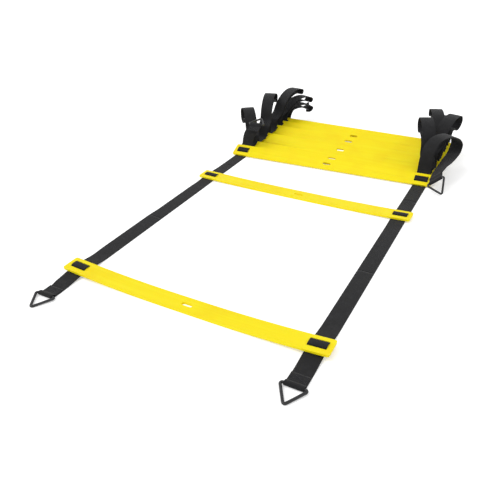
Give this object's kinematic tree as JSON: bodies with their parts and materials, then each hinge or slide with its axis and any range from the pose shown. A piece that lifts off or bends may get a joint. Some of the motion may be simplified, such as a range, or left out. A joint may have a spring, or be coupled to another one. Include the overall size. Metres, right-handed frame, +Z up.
{
  "type": "agility ladder",
  "caption": "Roll-up agility ladder: flat plastic rungs on two webbing straps with triangular end rings, its front bays laid out and the rest gathered in a stack.",
  "frame": {"origin": "on the floor, under the middle of the whole ladder's bounding box", "axes": "+Y along the straps, from the laid-out front rings to the gathered stack; +X along the rungs, to the right when looking from the front rings to the stack; +Z up"},
  "size_m": [0.6078, 1.0946, 0.119],
  "materials": {
    "rung_plastic": "semi-matte moulded plastic, bright yellow all through",
    "webbing": "woven black webbing with a faint lengthwise rib",
    "ring_wire": "black coated steel wire, satin"
  },
  "bodies": {
    "stack": {"rung_03": "rung_plastic", "rung_04": "rung_plastic", "rung_05": "rung_plastic", "rung_06": "rung_plastic", "rung_07": "rung_plastic", "rung_08": "rung_plastic", "strap_left_rear": "webbing", "webbing_left_tail": "webbing", "webbing_left_bay_3": "webbing", "webbing_left_bay_4": "webbing", "webbing_left_bay_5": "webbing", "webbing_left_bay_6": "webbing", "webbing_left_bay_7": "webbing", "strap_right_rear": "webbing", "webbing_right_tail": "webbing", "webbing_right_bay_3": "webbing", "webbing_right_bay_4": "webbing", "webbing_right_bay_5": "webbing", "webbing_right_bay_6": "webbing", "webbing_right_bay_7": "webbing"},
    "middle_section": {"strap_left_middle": "webbing", "strap_right_middle": "webbing"},
    "front_section": {"strap_left_front": "webbing", "strap_right_front": "webbing"},
    "rung_one": {"rung_01": "rung_plastic", "webbing_left_over_bar_1": "webbing", "webbing_right_over_bar_1": "webbing"},
    "rung_two": {"rung_02": "rung_plastic", "webbing_left_over_bar_2": "webbing", "webbing_right_over_bar_2": "webbing"},
    "front_left_ring": {"ring_front_left": "ring_wire"},
    "front_right_ring": {"ring_front_right": "ring_wire"},
    "rear_left_ring": {"ring_rear_left": "ring_wire"},
    "rear_right_ring": {"ring_rear_right": "ring_wire"}
  },
  "joints": [
    {"name": "fold_rear", "type": "hinge", "parent": "stack", "child": "middle_section", "pos_m": [0.00741, 0.11351, 0.00165], "axis": [1, 0, 0], "range_deg": [-110, 0]},
    {"name": "fold_front", "type": "hinge", "parent": "middle_section", "child": "front_section", "pos_m": [0.00741, -0.19849, 0.00165], "axis": [-1, 0, 0], "range_deg": [0, 165]},
    {"name": "rung_01_slide", "type": "slide", "parent": "front_section", "child": "rung_one", "axis": [0, -1, 0], "range_m": [-0.19, 0.03]},
    {"name": "rung_02_slide", "type": "slide", "parent": "middle_section", "child": "rung_two", "axis": [0, 1, 0], "range_m": [-0.19, 0.06]},
    {"name": "ring_front_left_swing", "type": "hinge", "parent": "front_section", "child": "front_left_ring", "pos_m": [-0.22499, -0.51199, 0.0039], "axis": [-1, 0, 0], "range_deg": [0, 150]},
    {"name": "ring_front_right_swing", "type": "hinge", "parent": "front_section", "child": "front_right_ring", "pos_m": [0.23981, -0.51199, 0.0039], "axis": [-1, 0, 0], "range_deg": [0, 150]},
    {"name": "ring_rear_left_swing", "type": "hinge", "parent": "stack", "child": "rear_left_ring", "pos_m": [-0.20918, 0.23965, 0.07099], "axis": [0.9986, 0.0523, 0], "range_deg": [0, 100]},
    {"name": "ring_rear_right_swing", "type": "hinge", "parent": "stack", "child": "rear_right_ring", "pos_m": [0.27694, 0.17965, 0.02978], "axis": [-0.7544, -0.133, -0.6428], "range_deg": [0, 80]}
  ]
}
